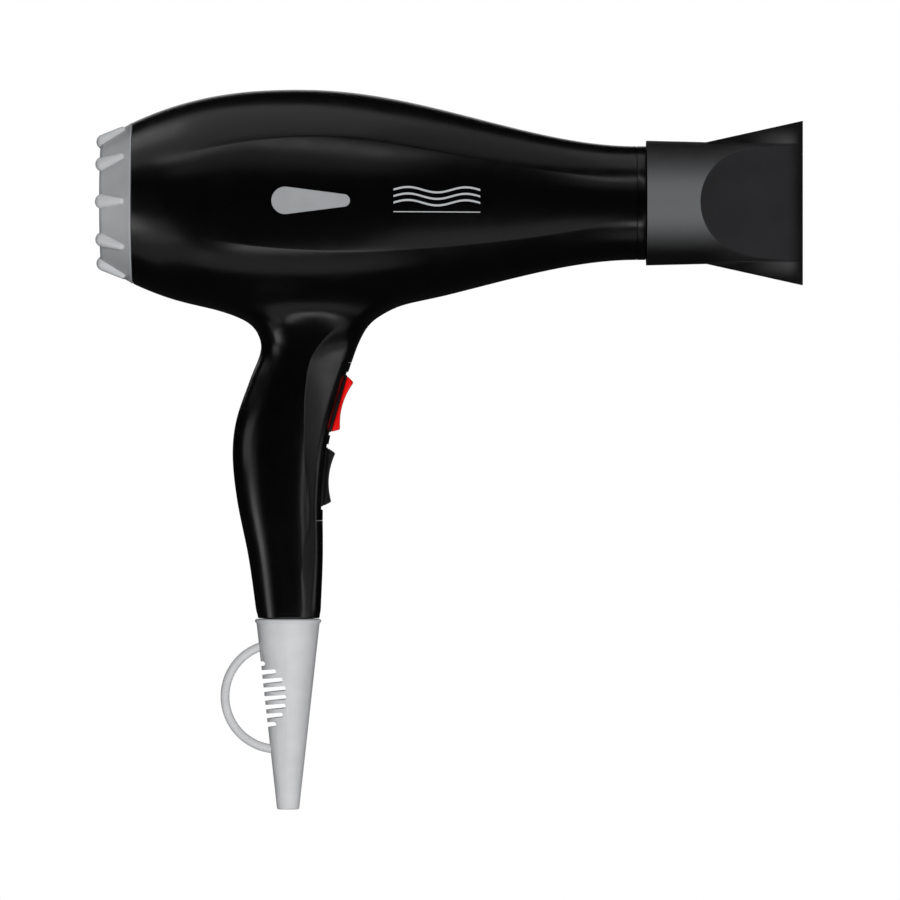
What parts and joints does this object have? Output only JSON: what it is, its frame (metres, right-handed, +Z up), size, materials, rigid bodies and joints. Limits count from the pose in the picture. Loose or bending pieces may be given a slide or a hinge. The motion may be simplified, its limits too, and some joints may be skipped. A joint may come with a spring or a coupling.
{
  "type": "hair dryer",
  "caption": "Pistol-grip hair dryer with a slot nozzle that turns and pulls off, rocker switches on the grip, a ribbed pull-off filter cap and a tapered cord boot with a hanging loop.",
  "frame": {"origin": "middle of the grip, on the middle plane between the two housing halves", "axes": "+X along the barrel towards the air outlet, +Z up, the cord leaves along -Z; the barrel's axis is parallel to X, 108 mm above the origin"},
  "size_m": [0.2961, 0.0928, 0.3022],
  "materials": {
    "gloss_black": "high gloss",
    "satin_black": "satin",
    "soft_grey": "soft matt",
    "badge_grey": "satin",
    "signal_red": "gloss",
    "dark_plastic": "moulded",
    "mica": "layered mica sheet",
    "steel": "plated",
    "bronze": "machined",
    "heat_wire": "resistance wire",
    "ferrite": "sintered",
    "lead_red": "silicone sleeve",
    "lead_black": "silicone sleeve"
  },
  "bodies": {
    "casing": {"left_housing": "gloss_black", "right_housing": "gloss_black", "left_badge": "badge_grey", "right_badge": "badge_grey", "switch_panel": "gloss_black", "speed_switch_body": "dark_plastic", "heat_switch_body": "dark_plastic", "fan_housing": "dark_plastic", "motor_can": "steel", "motor_end_bell": "dark_plastic", "rear_bearing": "bronze", "front_bearing": "bronze", "right_magnet": "ferrite", "left_magnet": "ferrite", "upper_brush": "ferrite", "lower_brush": "ferrite", "heater_sleeve": "mica", "upright_mica_board": "mica", "level_mica_board": "mica", "low_heat_coil": "heat_wire", "high_heat_coil": "heat_wire", "thermostat": "dark_plastic", "thermal_fuse": "steel", "outlet_ring": "satin_black", "outlet_grille": "satin_black", "cord_boot": "soft_grey", "cord_clamp": "dark_plastic", "clamp_screw_front": "steel", "clamp_screw_back": "steel", "housing_screw_top": "steel", "housing_screw_middle": "steel", "housing_screw_bottom": "steel", "motor_lead": "lead_red", "heater_lead": "lead_black"},
    "rear_filter_cap": {"rear_cap": "soft_grey", "inlet_grille": "soft_grey", "filter_mesh": "steel", "filter_retainer": "soft_grey"},
    "fan_rotor": {"impeller": "dark_plastic", "motor_shaft": "steel", "armature": "steel", "commutator": "bronze"},
    "nozzle_clip": {"nozzle_swivel_ring": "satin_black"},
    "air_nozzle": {"nozzle": "satin_black"},
    "speed_switch": {"speed_rocker": "signal_red"},
    "heat_switch": {"heat_rocker": "gloss_black"}
  },
  "joints": [
    {"name": "rear_cap_pull", "type": "slide", "parent": "casing", "child": "rear_filter_cap", "axis": [-1, 0, 0], "range_m": [0, 0.03]},
    {"name": "nozzle_pull", "type": "slide", "parent": "casing", "child": "nozzle_clip", "axis": [1, 0, 0], "range_m": [0, 0.03]},
    {"name": "nozzle_turn", "type": "hinge", "parent": "nozzle_clip", "child": "air_nozzle", "pos_m": [0.16, 0, 0.108], "axis": [1, 0, 0], "continuous": true},
    {"name": "speed_rocker_tilt", "type": "hinge", "parent": "casing", "child": "speed_switch", "pos_m": [0.01741, 0, 0.02588], "axis": [0, 1, 0], "range_deg": [-9, 9]},
    {"name": "heat_rocker_tilt", "type": "hinge", "parent": "casing", "child": "heat_switch", "pos_m": [0.01133, 0, -0.00637], "axis": [0, 1, 0], "range_deg": [-9, 9]},
    {"name": "fan_spin", "type": "hinge", "parent": "casing", "child": "fan_rotor", "pos_m": [0, 0, 0.108], "axis": [1, 0, 0], "continuous": true}
  ]
}
